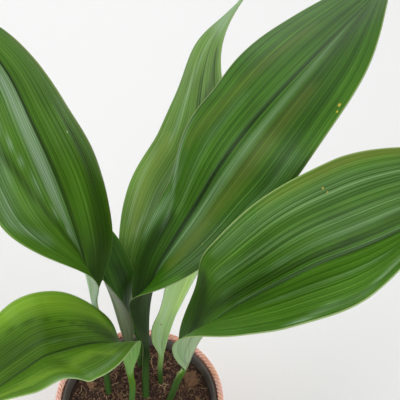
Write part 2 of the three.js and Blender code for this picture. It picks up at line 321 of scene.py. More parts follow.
@dataclass(frozen=True)
class LeafFinish:
    """Living leaf with a waxy cuticle: semi-gloss, fine lengthwise veins, a little light comes through.

    upper, groove and streak are the upper face, the furrows between its veins and its lighter
    ridges. The pale sheen colour is what painted sheen and the midrib's painted highlight mix towards, aged
    is a yellowed length, and margin is the thin hard edge.
    """

    name: str
    upper: str
    groove: str
    streak: str
    seed: float
    sheen_colour: str = "#9DB7A0"
    aged: str = "#8C8E3C"
    margin: str = "#A3B873"
    under: str = "#7C9466"
    under_streak: str = "#A3B592"
    petiole: str = "#3A5A26"
    roughness: float = 0.36
    spots: tuple[Spot, ...] = ()

    def material(self, half_width: float) -> bpy.types.Material:
        """Builds the leaf's node material.

        Args:
            half_width: Half the blade's greatest width in mm, which 50 on the leaf's map stands for.

        Returns:
            The material.
        """
        material, tree = empty_material(self.name)
        place = add_node(tree, "Attribute", attribute_name="leaf_map").outputs["Vector"]
        across, along, underside = add_node(tree, "SeparateXYZ", {0: place}).outputs
        tones = add_node(tree, "Attribute", attribute_name="leaf_tone").outputs["Vector"]
        shade, sheen_share, age = add_node(tree, "SeparateXYZ", {0: tones}).outputs
        width = half_width / HALF_SPAN

        noises = {}
        for kind, (size, length, offset, detail) in LEAF_GRAINS.items():
            scale = (width / size, 1 / length, UNDERSIDE_STEP)
            drawn_out = add_node(
                tree, "Mapping", {0: place, "Scale": scale, "Location": (offset, offset, self.seed)}
            ).outputs[0]
            noises[kind] = add_node(
                tree, "TexNoise", {0: drawn_out, "Scale": 1.0, "Detail": detail, "Roughness": 0.55}
            ).outputs[0]
        summed = {0: noises["veins"], 1: 1.1, 2: noises["ridges"]}
        grain = add_node(tree, "Math", summed, operation="MULTIPLY_ADD").outputs[0]
        summed = {0: noises["bands"], 1: 0.4, 2: grain}
        relief = add_node(tree, "Math", summed, operation="MULTIPLY_ADD").outputs[0]
        spread = add_node(tree, "MapRange", {0: relief, 1: 0.90, 2: 1.60, 3: 0.0, 4: 1.0}).outputs[0]

        # The midrib's furrow on the upper face gets painted shade, with a painted highlight on a shoulder 2.3
        # mm to its left.
        from_midrib = add_node(tree, "Math", {0: across}, operation="ABSOLUTE").outputs[0]
        aside = add_node(tree, "Math", {0: across, 1: 2.3 / width}, operation="SUBTRACT").outputs[0]
        from_shoulder = add_node(tree, "Math", {0: aside}, operation="ABSOLUTE").outputs[0]
        spreads = {
            "cloudy": (noises["clouds"], 0.3, 0.7, 0.86, 1.14),
            "threads": (noises["threads"], 0.54, 0.72, 0.0, 0.40),
            "shoulder_highlight": (from_shoulder, 0.2 / width, 1.0 / width, 0.12, 0.0),
            "furrow_shade": (from_midrib, 0.5 / width, 1.9 / width, 0.62, 0.0),
            "margin": (from_midrib, 48.7, HALF_SPAN, 0.0, 0.75),
            "streaky": (grain, 0.85, 1.30, 0.10, 1.0),
            "stem_streaks": (grain, 0.80, 1.30, 0.75, 1.25),
            "petiole": (along, -22.0, 9.0, 1.0, 0.0),
        }
        for spot in self.spots:
            centre = (spot.across, spot.along / width, 0.0)
            level = add_node(tree, "Mapping", {0: place, "Scale": (1.0, 1 / width, 0.0)}).outputs[0]
            away = add_node(tree, "VectorMath", {0: level, 1: centre}, operation="DISTANCE").outputs["Value"]
            spreads[spot] = (away, 0.5 * spot.radius / width, spot.radius / width, 0.9, 0.0)
        masks = {}
        for kind, (source, low, high, first, last) in spreads.items():
            limits = {0: source, 1: low, 2: high, 3: first, 4: last}
            masks[kind] = add_node(tree, "MapRange", limits, interpolation_type="SMOOTHSTEP").outputs[0]

        stops = [(0.15, self.groove), (0.50, self.upper), (0.90, self.streak)]
        toned = add_node(tree, "ValToRGB", {0: spread}, stops).outputs[0]
        clouded = {"Color": toned, "Value": masks["cloudy"]}
        colour = add_node(tree, "HueSaturation", clouded).outputs[0]
        stops = [(0.25, self.under), (0.80, self.under_streak)]
        lower = add_node(tree, "ValToRGB", {0: spread}, stops).outputs[0]
        # Painted sheen, broken into streaks along the veins.
        streaked_sheen = add_node(tree, "Math", {0: sheen_share, 1: masks["streaky"]}, operation="MULTIPLY").outputs[0]
        streaked = {"Color": linear(self.petiole), "Value": masks["stem_streaks"]}
        stem = add_node(tree, "HueSaturation", streaked).outputs[0]
        layers = [
            (masks["threads"], linear(self.streak), "MIX"),
            (masks["shoulder_highlight"], linear(self.sheen_colour), "MIX"),
            (masks["furrow_shade"], linear(FURROW_SHADE), "MIX"),
            (masks["margin"], linear(self.margin), "MIX"),
            (underside, lower, "MIX"),
            # Then yellowed lengths, painted sheen and painted shade from the strokes.
            (age, linear(self.aged), "MIX"),
            (streaked_sheen, linear(self.sheen_colour), "MIX"),
            (shade, linear(FOLD_SHADE), "MULTIPLY"),
            (masks["petiole"], stem, "MIX"),
        ]
        layers += [(masks[spot], linear(spot.colour), "MIX") for spot in self.spots]
        for share, over, mode in layers:
            mixed = {0: share, 6: colour, 7: over}
            colour = add_node(tree, "Mix", mixed, data_type="RGBA", blend_type=mode).outputs[2]

        bump = add_node(tree, "Bump", {"Strength": 0.4, "Distance": 0.0007, "Height": grain})
        limits = {0: noises["veins"], 1: 0.3, 2: 0.7, 3: self.roughness - 0.04, 4: self.roughness + 0.08}
        shader = add_node(
            tree,
            "BsdfPrincipled",
            {
                "Base Color": colour,
                "Roughness": add_node(tree, "MapRange", limits).outputs[0],
                "IOR": 1.45,
                "Specular IOR Level": 0.2,
                "Normal": bump.outputs[0],
                "Subsurface Weight": 0.15,
                "Subsurface Radius": (0.6, 1.0, 0.25),
                "Subsurface Scale": 0.0010,
            },
        )
        add_node(tree, "OutputMaterial", {0: shader.outputs[0]})
        return material


@dataclass(frozen=True)
class CordFinish:
    """Paper yarn, laid up three strands to a cord: matt, faintly downy, blush pink with peach lengths."""

    name: str = "laid_paper_cord_blush"
    pink: str = "#FFCCC0"
    peach: str = "#FFC2A6"
    shade: str = "#B26A5A"

    def material(self) -> bpy.types.Material:
        """Builds the cord's node material."""
        material, tree = empty_material(self.name)
        place = add_node(tree, "Attribute", attribute_name="strand_map").outputs["Vector"]
        where = add_node(tree, "TexCoord").outputs["Object"]
        patches = add_node(tree, "TexNoise", {0: where, "Scale": 55.0, "Detail": 2.0}).outputs[0]
        tone = add_node(tree, "ValToRGB", {0: patches}, [(0.40, self.pink), (0.60, self.peach)]).outputs[0]
        # The yarn's fibres lie 0.6 mm apart and 4 mm long along each strand.
        turned = add_node(tree, "Mapping", {0: place, "Scale": (1.6, 0.25, 1.0)}).outputs[0]
        yarn = add_node(tree, "TexNoise", {0: turned, "Scale": 1.0, "Detail": 3.0}).outputs[0]
        darker_yarn = add_node(tree, "MapRange", {0: yarn, 1: 0.35, 2: 0.65, 3: 0.35, 4: 0.0}).outputs[0]
        # Painted shade darkens each strand towards the grooves between strands, 1 to 2.3 mm round from its
        # outermost line.
        round_strand = add_node(tree, "SeparateXYZ", {0: place}).outputs["X"]
        groove = add_node(tree, "MapRange", {0: round_strand, 1: 1.0, 2: 2.3, 3: 0.0, 4: 0.85}).outputs[0]
        groove_shade_and_yarn_tone = add_node(tree, "Math", {0: darker_yarn, 1: groove}, operation="MAXIMUM").outputs[0]
        colour = add_node(tree, "Mix", {0: groove_shade_and_yarn_tone, 6: tone, 7: linear(self.shade)}, data_type="RGBA")
        bump = add_node(tree, "Bump", {"Strength": 0.5, "Distance": 0.0004, "Height": yarn})
        shader = add_node(
            tree,
            "BsdfPrincipled",
            {
                "Base Color": colour.outputs[2],
                "Roughness": 0.9,
                "IOR": 1.5,
                "Normal": bump.outputs[0],
                "Sheen Weight": 0.25,
                "Sheen Roughness": 0.5,
            },
        )
        add_node(tree, "OutputMaterial", {0: shader.outputs[0]})
        return material


@dataclass(frozen=True)
class PlasticFinish:
    """Vacuum formed polypropylene, nearly black: satin, lightly scuffed, dusty in patches."""

    name: str = "formed_polypropylene_dark"
    body: str = "#514946"
    dust: str = "#7A6E64"

    def material(self) -> bpy.types.Material:
        """Builds the nursery pot's node material."""
        material, tree = empty_material(self.name)
        where = add_node(tree, "TexCoord").outputs["Object"]
        scuffs = add_node(tree, "TexNoise", {0: where, "Scale": 180.0, "Detail": 5.0}).outputs[0]
        dusty = add_node(tree, "TexNoise", {0: where, "Scale": 60.0, "Detail": 4.0}).outputs[0]
        mask = add_node(tree, "MapRange", {0: dusty, 1: 0.48, 2: 0.72, 3: 0.0, 4: 0.7}).outputs[0]
        mixed = {0: mask, 6: linear(self.body), 7: linear(self.dust)}
        colour = add_node(tree, "Mix", mixed, data_type="RGBA").outputs[2]
        rough = add_node(tree, "MapRange", {0: scuffs, 3: 0.35, 4: 0.6}).outputs[0]
        bump = add_node(tree, "Bump", {"Strength": 0.2, "Distance": 0.0003, "Height": scuffs}).outputs[0]
        shader = add_node(
            tree, "BsdfPrincipled", {"Base Color": colour, "Roughness": rough, "IOR": 1.49, "Normal": bump}
        )
        add_node(tree, "OutputMaterial", {0: shader.outputs[0]})
        return material


@dataclass(frozen=True)
class CrumbFinish:
    """Organic crumb such as peat, bark or straw: matt and rough, each crumb with its own tone."""

    name: str
    dark: str
    middle: str
    light: str
    grain: float = 900.0

    def material(self) -> bpy.types.Material:
        """Builds the crumb's node material."""
        material, tree = empty_material(self.name)
        tint = add_node(tree, "Attribute", attribute_name="crumb_map").outputs["Fac"]
        where = add_node(tree, "TexCoord").outputs["Object"]
        rough = {0: where, "Scale": self.grain, "Detail": 5.0, "Roughness": 0.7}
        grain = add_node(tree, "TexNoise", rough).outputs[0]
        mixed = add_node(tree, "Math", {0: grain, 1: 0.5, 2: tint}, operation="MULTIPLY_ADD").outputs[0]
        stops = [(0.30, self.dark), (0.62, self.middle), (1.0, self.light)]
        tone = add_node(tree, "ValToRGB", {0: mixed}, stops).outputs[0]
        bump = add_node(tree, "Bump", {"Strength": 0.7, "Distance": 0.0007, "Height": grain}).outputs[0]
        shader = add_node(
            tree, "BsdfPrincipled", {"Base Color": tone, "Roughness": 0.92, "IOR": 1.5, "Normal": bump}
        )
        add_node(tree, "OutputMaterial", {0: shader.outputs[0]})
        return material


@dataclass(frozen=True)
class FloorFinish:
    """Painted studio floor: matt off-white."""

    name: str = "matt_painted_floor"
    colour: str = "#F4F4F3"

    def material(self) -> bpy.types.Material:
        """Builds the floor's node material."""
        material, tree = empty_material(self.name)
        where = add_node(tree, "TexCoord").outputs["Object"]
        mottle = add_node(tree, "TexNoise", {0: where, "Scale": 1.5, "Detail": 2.0}).outputs[0]
        tone = add_node(tree, "MapRange", {0: mottle, 3: 0.985, 4: 1.0}).outputs[0]
        colour = add_node(tree, "HueSaturation", {"Color": linear(self.colour), "Value": tone}).outputs[0]
        shader = add_node(
            tree, "BsdfPrincipled", {"Base Color": colour, "Roughness": 0.8, "Specular IOR Level": 0.2}
        )
        add_node(tree, "OutputMaterial", {0: shader.outputs[0]})
        return material


# ---- Leaves ----


@dataclass(frozen=True)
class Leaf:
    """One leaf, petiole and blade together, with the CAD part's own numbers in mm and degrees.

    midrib has six points from the petiole's foot, the blade's base, then on to the tip. bend has
    stations from base to tip, each roll, fold of the left half and fold of the right half. wave
    has height, count and phase of the left and the right margin's waves. curl is how much each
    half curls, and nothing rises above ceiling. pleats has the folds along the veins: how many to
    a half, their height, how many they slant by from base to tip, and their shift by side.
    """

    name: str
    slot: Slot
    finish: LeafFinish
    heading: float
    petiole_radius: float
    midrib: tuple[Station, ...]
    bend: tuple[Station, ...]
    half_width: float
    widest: float
    base_power: float
    tip_power: float
    wave: tuple[Station, Station]
    curl: tuple[float, float]
    strokes: tuple[Stroke, ...]

    base_half_width: float = 2.5
    tip_half_width: float = 0.9
    keel_half_width: float = 3.2
    keel_share: float = 0.25
    keel_depths: tuple[float, float] = (2.6, 0.4)
    thicknesses: tuple[float, float] = (1.0, 0.65)
    keel_limit: float = 0.4
    keel_power: float = 1.5
    pleats: tuple[tuple[float, float, float, float], ...] = ((5.5, 0.3, 0.6, 0.35), (9.3, 0.18, -0.5, 0.2))
    petiole_channel: tuple[float, float, float] = (0.8, 0.35, 0.25)
    petiole_blend: float = 0.09
    ceiling: float = 485.7
    row_crowding: float = 1.3
    face_columns: int = 44
    petiole_rows: int = 26
    blade_rows: int = 230
    curve_steps: int = 200

    def outline(self, share: np.ndarray) -> np.ndarray:
        """Half width of the blade in mm at each share of its length."""
        rising = np.sin(np.clip(share / self.widest, 0, 1) * np.pi / 2) ** self.base_power
        falling = np.cos(np.clip((share - self.widest) / (1 - self.widest), 0, 1) * np.pi / 2)
        profile = np.where(share < self.widest, rising, np.maximum(falling, 0) ** self.tip_power)
        width = self.half_width * profile + self.base_half_width * (1 - share)
        return np.maximum(width, self.tip_half_width)

    def frames(self, at: np.ndarray, share: np.ndarray) -> tuple[np.ndarray, np.ndarray, np.ndarray]:
        """The midrib's points and the directions across and up from it.

        Args:
            at: Places on the midrib's curve from 0 to 1.
            share: Share of the blade's length at each of them.

        Returns:
            Points in mm, and the unit vectors to the leaf's left and to its upper face.
        """
        step = 1e-4
        centre = catmull_rom(self.midrib, at)
        after, before = np.minimum(at + step, 1), np.maximum(at - step, 0)
        tangent = catmull_rom(self.midrib, after) - catmull_rom(self.midrib, before)
        tangent /= np.linalg.norm(tangent, axis=1)[:, None]
        roll = np.radians(catmull_rom(self.bend, np.sqrt(share))[:, 0])[:, None]
        heading = math.radians(self.heading)
        level = np.array([-math.sin(heading), math.cos(heading), 0.0])
        flat = level - (tangent @ level)[:, None] * tangent
        flat /= np.linalg.norm(flat, axis=1)[:, None]
        across_axis = flat * np.cos(roll) + np.cross(tangent, flat) * np.sin(roll)
        return centre, across_axis, np.cross(tangent, across_axis)

    def blade(self, outward: np.ndarray, share: np.ndarray, beneath: np.ndarray) -> tuple[np.ndarray, ...]:
        """The blade's cross section, with no petiole.

        Args:
            outward: From -1 at the right margin to 1 at the left one.
            share: Share of the blade's length.
            beneath: Whether the point is on the underside.

        Returns:
            Distance to the left and up from the midrib in mm, and the share of the half width.
        """
        side, reach = np.where(outward < 0, -1.0, 1.0), np.abs(outward)
        bend = catmull_rom(self.bend, np.sqrt(share))
        half = self.outline(share)
        keel = np.minimum(self.keel_half_width, self.keel_limit * half)
        beyond = (reach - self.keel_share) / (1 - self.keel_share)
        near, far = keel * reach / self.keel_share, keel + (half - keel) * beyond
        distance = np.where(reach < self.keel_share, near, far)
        left = side > 0
        fold = np.radians(np.where(left, bend[:, 1], bend[:, 2]))
        curl = np.radians(np.where(left, *self.curl)) / half
        angle = fold + curl * distance
        x = side * (np.sin(angle) - np.sin(fold)) / curl
        y = (np.cos(fold) - np.cos(angle)) / curl
        out = distance / half
        height, count, phase = (np.where(left, a, b) for a, b in zip(*self.wave))
        y = y + height * out ** 2 * np.sin(2 * np.pi * (count * share + phase)) * np.sin(np.pi * share)
        fading = np.sin(np.pi * np.clip(out, 0, 1)) * np.sin(np.pi * share) ** 0.5
        for pleats, size, slant, shift in self.pleats:
            y = y + size * fading * np.sin(2 * np.pi * (pleats * out + slant * share + shift * side))
        rib = 1 - smoothstep(reach, 0.0, self.keel_share)
        depth = self.keel_depths[0] + (self.keel_depths[1] - self.keel_depths[0]) * np.sqrt(share)
        thick = self.thicknesses[0] + (self.thicknesses[1] - self.thicknesses[0]) * out
        thick = thick + depth * rib ** self.keel_power
        lean = angle * (1 - rib)
        x = x + np.where(beneath, side * np.sin(lean) * thick, 0)
        y = y - np.where(beneath, np.cos(lean) * thick, 0)
        return x, y, out

    def shape(self, column: np.ndarray, row: np.ndarray) -> tuple[np.ndarray, ...]:
        """Points of the leaf's skin.

        Args:
            column: Column numbers, over the upper face from left to right, then back underneath.
            row: Row numbers from the petiole's foot to the tip.

        Returns:
            Points in mm, (place across, mm along from the blade's base, 1 on the blade's underside)
            and (painted shade, painted sheen, age) for each.
        """
        per_face = self.face_columns
        wrapped = column % (2 * per_face)
        beneath = wrapped >= per_face
        under, over = 2 * (wrapped - per_face) / (per_face - 1) - 1, 1 - 2 * wrapped / (per_face - 1)
        outward = np.where(beneath, under, over)
        index = row - self.petiole_rows
        share = np.clip(index / self.blade_rows, 0, 1) ** self.row_crowding

        steps = np.linspace(0, 1, self.curve_steps + 1)
        table = catmull_rom(self.midrib, steps)
        lengths = np.concatenate([[0], np.cumsum(np.linalg.norm(np.diff(table, axis=0), axis=1))])
        petiole_share = lengths[self.curve_steps // (len(self.midrib) - 1)] / lengths[-1]
        on_petiole = petiole_share * (1 + index / self.petiole_rows)
        place = np.where(index < 0, on_petiole, petiole_share + (1 - petiole_share) * share)
        centre, across_axis, up_axis = self.frames(np.interp(place * lengths[-1], lengths, steps), share)
        blade_x, blade_y, out = self.blade(outward, share, beneath)

        radius, flank = self.petiole_radius, np.pi / 2 * outward
        wide, floor, rise = self.petiole_channel
        stem_x = np.where(beneath, radius * np.sin(flank), wide * radius * outward)
        stem_y = np.where(beneath, -radius * np.cos(flank), radius * (floor + rise * outward ** 2))
        weight = smoothstep(share, 0, self.petiole_blend)
        x, y = stem_x + (blade_x - stem_x) * weight, stem_y + (blade_y - stem_y) * weight
        points = centre + across_axis * x[:, None] + up_axis * y[:, None]
        points[:, 2] = np.minimum(points[:, 2], self.ceiling)
        across = np.where(outward < 0, -1.0, 1.0) * out * HALF_SPAN
        along = (place - petiole_share) * lengths[-1]
        leaf_map = np.column_stack([across, along, beneath * smoothstep(weight, 0.0, 0.5)])
        return points, leaf_map, self.tones(across, along, self.outline(share), beneath)

    def tones(
        self, across: np.ndarray, along: np.ndarray, half: np.ndarray, beneath: np.ndarray
    ) -> np.ndarray:
        """Painted shade, painted sheen and age that the strokes leave at each point.

        Args:
            across: Place across, from -50 to 50.
            along: Place along in mm from the blade's base.
            half: Half width of the blade there, in mm.
            beneath: Whether the point is on the underside.

        Returns:
            One row of painted shade, painted sheen and age for each point.
        """
        laid = np.zeros((len(across), len(Tone)))
        for stroke in self.strokes:
            places, middles, widths = np.array(stroke.stations, float).T
            gap = (across - np.interp(along, places, middles)) * half / HALF_SPAN
            away = gap / np.interp(along, places, widths)
            start, end = places[0], places[-1]
            begun = smoothstep(along, start - stroke.taper, start)
            ends = begun * (1 - smoothstep(along, end, end + stroke.taper))
            weight = stroke.strength * ends * np.exp(-away ** 2) * (beneath == stroke.beneath)
            laid[:, stroke.tone.value] = np.maximum(laid[:, stroke.tone.value], weight)
        return laid

    def build(self) -> None:
        """Builds and dresses the leaf."""
        bm = bmesh.new()
        rows = self.petiole_rows + self.blade_rows
        rolled_sheet(bm, 2 * self.face_columns, rows, self.shape, "leaf_map", "leaf_tone")
        close_ends(bm)
        material = self.finish.material(self.half_width)
        finish_piece(bm, f"{self.name}_blade", material, [self.name])


LEFT = LeafFinish(
    "cast_iron_leaf_left", upper="#467212", groove="#31590B", streak="#618C30", sheen_colour="#BCD0C2",
    under="#809C68", under_streak="#A2B88E", seed=1.0, spots=(Spot(143, -31, 1.3, "#C9CFB4"),),
)
LOW = LeafFinish(
    "cast_iron_leaf_low", upper="#4F7A13", groove="#3C620C", streak="#6C982E", margin="#C2CFA0",
    aged="#93BC34", petiole="#56803C", under="#6C9A4A", under_streak="#86AE66", seed=2.0,
)
BACK = LeafFinish(
    "cast_iron_leaf_back", upper="#5F8730", groove="#486F20", streak="#86AA5C", sheen_colour="#A9C6A4",
    aged="#8FA648", seed=4.0,
)
INNER = LeafFinish(
    "cast_iron_leaf_inner", upper="#335C10", groove="#23450B", streak="#4C7826", under="#4C5E38",
    under_streak="#8A9A70", seed=6.0,
)
TALL = LeafFinish(
    "cast_iron_leaf_tall", upper="#315D08", groove="#224604", streak="#507E24", sheen_colour="#91B088",
    under="#55753F", under_streak="#7C9A64", seed=7.0,
    spots=(Spot(302, -45.5, 1.4, "#B9A83E"), Spot(298, -47, 1.0, "#B9A83E"), Spot(150, -30, 0.8, "#9A8E4A")),
)
RIGHT = LeafFinish(
    "cast_iron_leaf_right", upper="#3A660A", groove="#2A4F05", streak="#588628", sheen_colour="#97B48E",
    under="#62824B", under_streak="#8FA87C", seed=9.0,
    spots=(Spot(234, 38, 1.0, "#B5A04A"), Spot(236, 35, 0.8, "#B5A04A")),
)
PALE = LeafFinish(
    "cast_iron_leaf_pale", upper="#86AC5A", groove="#739A48", streak="#A3C47C", aged="#B4D46C",
    under="#86AC60", under_streak="#A6C48A", seed=8.0, spots=(Spot(38, -28, 1.3, "#8A6A40"),),
)

# Each leaf's strokes. Shade strokes are painted shade of folds, of sides turned from the light, of shadows
# cast by other leaves and of dark funnels at the bases. Sheen strokes are painted sheen and highlights, and
# they also pale the underside near some bases. Age strokes are yellowed lengths.
LEFT_MARKS = (
    Stroke(
        Tone.PAINTED_SHEEN, 0.70,
        ((49, 7, 0.9), (63, 5, 1.4), (90, 6, 2.4), (114, 6, 3.6), (149, 6, 4.2), (184, 6, 4.2),
         (219, 8, 4.4), (250, 9, 3)),
    ),
    Stroke(Tone.PAINTED_SHEEN, 0.45, ((71, 9, 0.8), (106, 13, 0.9), (143, 16, 1), (184, 23, 1.2), (215, 26, 1.2))),
    Stroke(Tone.PAINTED_SHEEN, 0.40, ((85, 34, 4), (109, 42, 5), (145, 35, 7), (175, 34, 6))),
    Stroke(Tone.SHADE, 0.60, ((60, 12, 1.5), (71, 14, 2), (109, 18, 2.5), (143, 23, 3), (170, 29, 3.5))),
    Stroke(
        Tone.SHADE, 0.62,
        ((28, -16, 10), (57, -30, 14), (80, -33, 13), (100, -34, 9), (122, -35, 5), (150, -36, 2),
         (190, -37, 1)),
    ),
    Stroke(Tone.SHADE, 0.58, ((40, 2, 2.4), (56, -2, 2.4), (90, -2, 2.2), (150, -1, 1.7), (235, 0, 1.2))),
    Stroke(Tone.AGE, 0.55, ((70, -49, 1.5), (150, -49, 2.2), (235, -49, 2.6))),
    Stroke(Tone.PAINTED_SHEEN, 0.80, ((-12, 0, 50), (30, 0, 50), (60, 0, 40)), beneath=True),
)

LOW_MARKS = (
    Stroke(
        Tone.AGE, 0.45,
        ((54, -26, 4), (68, -38, 7), (92, -41, 9), (118, -42, 9), (140, -44, 8), (180, -44, 8)),
    ),
    Stroke(
        Tone.AGE, 0.35,
        ((84, 32, 5), (95, 18, 6), (114, 22, 6), (131, 34, 6), (150, 30, 6), (175, 36, 6)),
    ),
    Stroke(
        Tone.SHADE, 0.40,
        ((70, 8, 4), (81, 0, 7), (101, -8, 10), (126, -15, 12), (145, -19, 12), (175, -20, 10)),
    ),
    Stroke(
        Tone.SHADE, 0.45,
        ((60, -10, 1.4), (98, -22, 1.2), (123, -28, 1.3), (138, -33, 1.3), (160, -36, 1.2)),
    ),
    Stroke(Tone.SHADE, 0.45, ((52, -14, 4), (62, -16, 5), (78, -20, 4))),
    Stroke(Tone.PAINTED_SHEEN, 0.40, ((84, 41, 2), (106, 43, 3), (122, 44, 3), (134, 47, 2.5))),
    Stroke(Tone.PAINTED_SHEEN, 0.25, ((95, -6, 1), (118, -10, 1.2), (140, -14, 1.2))),
)

BACK_MARKS = (
    Stroke(
        Tone.PAINTED_SHEEN, 0.55,
        ((150, 30, 2), (159, 29, 2.5), (190, 26, 3), (213, 19, 3), (235, 13, 3), (252, 8, 3)),
    ),
    Stroke(Tone.PAINTED_SHEEN, 0.60, ((62, 20, 3), (79, 12, 3), (94, 10, 3), (112, 10, 2.5), (128, 10, 2))),
    Stroke(Tone.PAINTED_SHEEN, 0.40, ((70, 34, 2), (95, 36, 2), (120, 40, 2))),
    Stroke(Tone.PAINTED_SHEEN, 0.90, ((259, 0, 18), (275, 0, 18), (300, 0, 18))),
    Stroke(Tone.AGE, 0.40, ((61, 24, 6), (87, 30, 8), (110, 34, 8), (146, 32, 7))),
    Stroke(Tone.SHADE, 0.50, ((168, -4, 4), (197, -12, 6), (215, -27, 6), (236, -33, 5))),
    Stroke(Tone.SHADE, 0.45, ((60, 2, 3), (100, 2, 3), (150, 4, 2.5), (210, 4, 2))),
)

INNER_MARKS = (
    Stroke(Tone.SHADE, 0.45, ((25, -32, 6), (60, -30, 7), (80, -28, 5))),
    Stroke(Tone.PAINTED_SHEEN, 0.40, ((22, 28, 1.2), (43, 22, 1.3), (56, 14, 1.2)), beneath=True),
    Stroke(Tone.SHADE, 0.45, ((28, 16, 0.8), (60, 6, 0.8), (80, 6, 0.8)), beneath=True),
    Stroke(Tone.SHADE, 0.45, ((-10, -30, 26), (50, -30, 26), (110, -30, 26)), beneath=True),
    Stroke(Tone.SHADE, 0.30, ((-10, 26, 26), (50, 26, 26), (110, 26, 26)), beneath=True),
)

TALL_MARKS = (
    Stroke(
        Tone.SHADE, 0.72,
        ((80, 5, 2), (104, 3, 2.2), (125, 1.5, 2.6), (161, 0.8, 2.4), (187, 0, 1.8), (219, -0.5, 1.3),
         (241, -1, 1), (300, -1, 0.8), (390, -1, 0.7)),
    ),
    Stroke(
        Tone.PAINTED_SHEEN, 0.55,
        ((98, -3, 2), (125, -6, 3.6), (161, -7, 4), (187, -8, 3.4), (219, -9, 3), (241, -9, 2.4),
         (300, -8, 1.8), (370, -6, 1.4)),
    ),
    Stroke(
        Tone.AGE, 0.22,
        ((118, -20, 4), (144, -18, 5), (173, -17, 5), (205, -19, 6), (240, -18, 6), (300, -19, 5)),
    ),
    Stroke(
        Tone.PAINTED_SHEEN, 0.75,
        ((136, 25, 2), (142, 26, 2.6), (154, 32, 2.6), (169, 42, 2.6), (187, 48, 2.2), (217, 49, 1.6)),
    ),
    Stroke(Tone.PAINTED_SHEEN, 0.65, ((116, 46, 3), (132, 43, 5), (143, 38, 6), (150, 37, 4))),
    Stroke(Tone.SHADE, 0.62, ((50, 24, 14), (84, 30, 15), (100, 30, 12), (118, 26, 9), (142, 19, 5))),
    Stroke(Tone.PAINTED_SHEEN, 0.20, ((113, -34, 3), (142, -37, 4), (168, -33, 4), (201, -37, 5), (260, -38, 6))),
    Stroke(Tone.PAINTED_SHEEN, 0.20, ((160, 16, 2.5), (190, 20, 3), (230, 22, 3), (270, 20, 3))),
    Stroke(Tone.SHADE, 0.60, ((128, -46, 3), (150, -47, 4), (190, -48, 6), (230, -48, 5), (262, -49, 3))),
    Stroke(Tone.SHADE, 0.30, ((270, -24, 12), (320, -20, 14), (370, -16, 12))),
    Stroke(Tone.AGE, 0.15, ((205, 40, 5), (222, 36, 6), (250, 32, 6), (286, 28, 5), (345, 22, 5))),
    Stroke(Tone.PAINTED_SHEEN, 0.35, ((18, -8, 0.8), (52, -6, 1.1), (72, -4, 1.1)), beneath=True),
    Stroke(Tone.SHADE, 0.80, ((-30, -26, 22), (30, -26, 22), (110, -26, 20)), beneath=True),
    Stroke(Tone.SHADE, 0.80, ((-30, 10, 22), (30, 10, 22), (110, 10, 20)), beneath=True),
    Stroke(Tone.SHADE, 0.80, ((-30, 44, 20), (30, 44, 20), (110, 44, 18)), beneath=True),
)

RIGHT_MARKS = (
    Stroke(Tone.SHADE, 0.72, ((44, 8, 16), (62, 14, 17), (80, 24, 16), (98, 32, 12), (112, 37, 8))),
    Stroke(
        Tone.SHADE, 0.60,
        ((60, 18, 4), (72, 18, 5), (128, 9, 4.5), (162, 8, 3.6), (198, 6, 2.8), (222, 5, 2.4),
         (251, 7, 2.2), (276, 8, 2), (330, 6, 1.8)),
    ),
    Stroke(Tone.PAINTED_SHEEN, 0.50, ((128, 14, 1.1), (162, 14, 1.2), (198, 11, 1.2), (251, 12, 1.2), (290, 12, 1.2))),
    Stroke(Tone.PAINTED_SHEEN, 0.40, ((140, 2, 1), (198, 0, 1.1), (240, 1, 1.1), (290, 2, 1.1))),
    Stroke(
        Tone.PAINTED_SHEEN, 0.34,
        ((150, 43, 3), (169, 42, 5), (195, 40, 7), (218, 36, 8), (246, 35, 8), (276, 33, 8),
         (330, 30, 7)),
    ),
    Stroke(
        Tone.PAINTED_SHEEN, 0.26,
        ((135, 29, 3), (162, 27, 4), (195, 23, 4.5), (223, 20, 4.5), (253, 19, 4.5), (310, 18, 4)),
    ),
    Stroke(Tone.PAINTED_SHEEN, 0.75, ((204, -48, 1.2), (216, -47, 2.2), (233, -43, 2.6), (242, -43, 1.6))),
    Stroke(Tone.PAINTED_SHEEN, 0.65, ((248, -45, 1.6), (258, -44, 2.6), (274, -38, 3), (292, -36, 3))),
    Stroke(Tone.PAINTED_SHEEN, 0.30, ((170, -20, 1.5), (210, -22, 1.8), (260, -20, 2))),
    Stroke(Tone.AGE, 0.35, ((205, 46, 2), (222, 46, 3), (253, 47, 4), (283, 48, 4), (330, 48, 4))),
    Stroke(Tone.PAINTED_SHEEN, 0.50, ((55, -34, 1.2), (66, -26, 1.4), (78, -12, 1.4)), beneath=True),
    Stroke(Tone.SHADE, 0.35, ((55, -38, 1), (68, -30, 1), (80, -22, 1)), beneath=True),
)

PALE_MARKS = (
    Stroke(Tone.AGE, 0.50, ((60, -4, 6), (85, -2, 7), (110, 0, 7)), beneath=True),
    Stroke(Tone.PAINTED_SHEEN, 0.55, ((15, -20, 3), (35, -30, 3), (55, -30, 2.5)), beneath=True),
    Stroke(Tone.SHADE, 0.25, ((20, -10, 0.8), (45, -10, 0.8), (90, -12, 0.8)), beneath=True),
)

